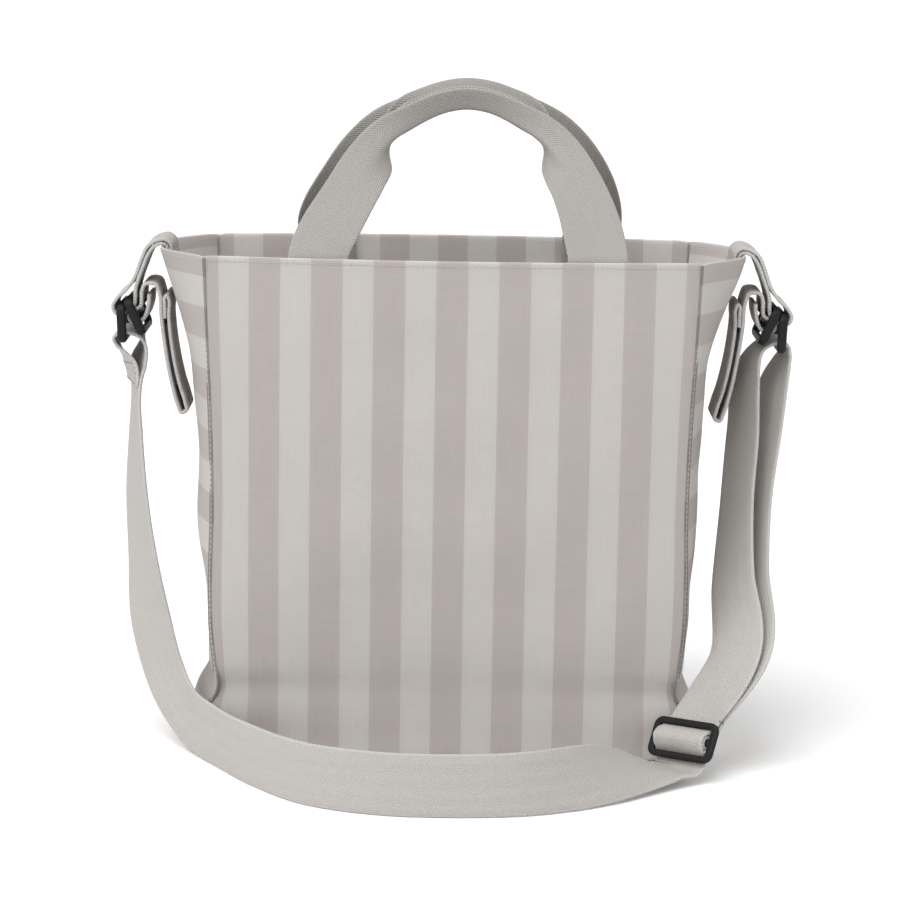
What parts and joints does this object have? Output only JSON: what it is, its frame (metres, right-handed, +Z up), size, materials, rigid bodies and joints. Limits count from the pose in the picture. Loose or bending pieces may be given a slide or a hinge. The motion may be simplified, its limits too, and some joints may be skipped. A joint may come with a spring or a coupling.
{
  "type": "tote bag",
  "caption": "Striped canvas tote bag with webbing handles, an adjustable shoulder strap on plastic rings and a hanging pram strap on each side.",
  "frame": {"origin": "middle of the base, on the surface the bag stands on", "axes": "+Z up, +X across the bag to its right side as seen from the front, -Y towards the front"},
  "size_m": [0.4484, 0.2783, 0.4379],
  "materials": {
    "canvas_light": "plain weave",
    "canvas_taupe": "plain weave",
    "webbing": "herringbone weave",
    "black_plastic": "satin moulded",
    "hook_tape": "matte"
  },
  "bodies": {
    "bag": {"front_panel": "canvas_light", "back_panel": "canvas_light", "left_gusset": "canvas_taupe", "right_gusset": "canvas_taupe", "base_panel": "canvas_taupe", "front_hem": "canvas_taupe", "back_hem": "canvas_taupe", "left_hem": "canvas_taupe", "right_hem": "canvas_taupe", "seam_binding_front_left": "webbing", "seam_binding_front_right": "webbing", "seam_binding_back_left": "webbing", "seam_binding_back_right": "webbing", "front_handle_ends": "webbing", "back_handle_ends": "webbing", "left_tab_root": "webbing", "right_tab_root": "webbing"},
    "front_handle": {"front_handle": "webbing"},
    "back_handle": {"back_handle": "webbing"},
    "strap": {"left_tab": "webbing", "right_tab": "webbing", "left_strap_loop": "webbing", "right_strap_loop": "webbing", "strap_run": "webbing", "front_rise": "webbing", "rear_rise": "webbing"},
    "slider": {"slider": "black_plastic", "slider_pass": "webbing", "slider_fold": "webbing"},
    "left_strap_ring": {"left_strap_ring": "black_plastic"},
    "left_pram_buckle": {"left_pram_buckle": "black_plastic", "left_pram_end": "webbing"},
    "left_pram_strap": {"left_pram_strap": "webbing", "left_hook_tape": "hook_tape", "left_loop_tape": "hook_tape"},
    "right_strap_ring": {"right_strap_ring": "black_plastic"},
    "right_pram_buckle": {"right_pram_buckle": "black_plastic", "right_pram_end": "webbing"},
    "right_pram_strap": {"right_pram_strap": "webbing", "right_hook_tape": "hook_tape", "right_loop_tape": "hook_tape"}
  },
  "joints": [
    {"name": "front_handle_fold", "type": "hinge", "parent": "bag", "child": "front_handle", "pos_m": [0, -0.0775, 0.3305], "axis": [1, 0, 0], "range_deg": [0, 180]},
    {"name": "back_handle_fold", "type": "hinge", "parent": "bag", "child": "back_handle", "pos_m": [0, 0.0775, 0.3305], "axis": [-1, 0, 0], "range_deg": [0, 180]},
    {"name": "strap_lift", "type": "hinge", "parent": "bag", "child": "strap", "pos_m": [0, 0, 0.331], "axis": [-1, 0, 0], "range_deg": [0, 150]},
    {"name": "left_ring_tilt", "type": "hinge", "parent": "strap", "child": "left_strap_ring", "pos_m": [-0.2175, 0, 0.2905], "axis": [0, 1, 0], "range_deg": [-2, 3]},
    {"name": "left_buckle_tilt", "type": "hinge", "parent": "strap", "child": "left_pram_buckle", "pos_m": [-0.213, 0, 0.294], "axis": [0, 1, 0], "range_deg": [-1, 3]},
    {"name": "left_pram_swing", "type": "hinge", "parent": "left_pram_buckle", "child": "left_pram_strap", "pos_m": [-0.196, 0, 0.301], "axis": [0, 1, 0], "range_deg": [0, 10]},
    {"name": "right_ring_tilt", "type": "hinge", "parent": "strap", "child": "right_strap_ring", "pos_m": [0.2175, 0, 0.2905], "axis": [0, -1, 0], "range_deg": [-2, 3]},
    {"name": "right_buckle_tilt", "type": "hinge", "parent": "strap", "child": "right_pram_buckle", "pos_m": [0.213, 0, 0.294], "axis": [0, -1, 0], "range_deg": [-1, 3]},
    {"name": "right_pram_swing", "type": "hinge", "parent": "right_pram_buckle", "child": "right_pram_strap", "pos_m": [0.196, 0, 0.301], "axis": [0, -1, 0], "range_deg": [0, 5]},
    {"name": "slider_slide", "type": "slide", "parent": "strap", "child": "slider", "axis": [0.3201, 0.3501, 0.8803], "range_m": [0, 0.01]}
  ]
}
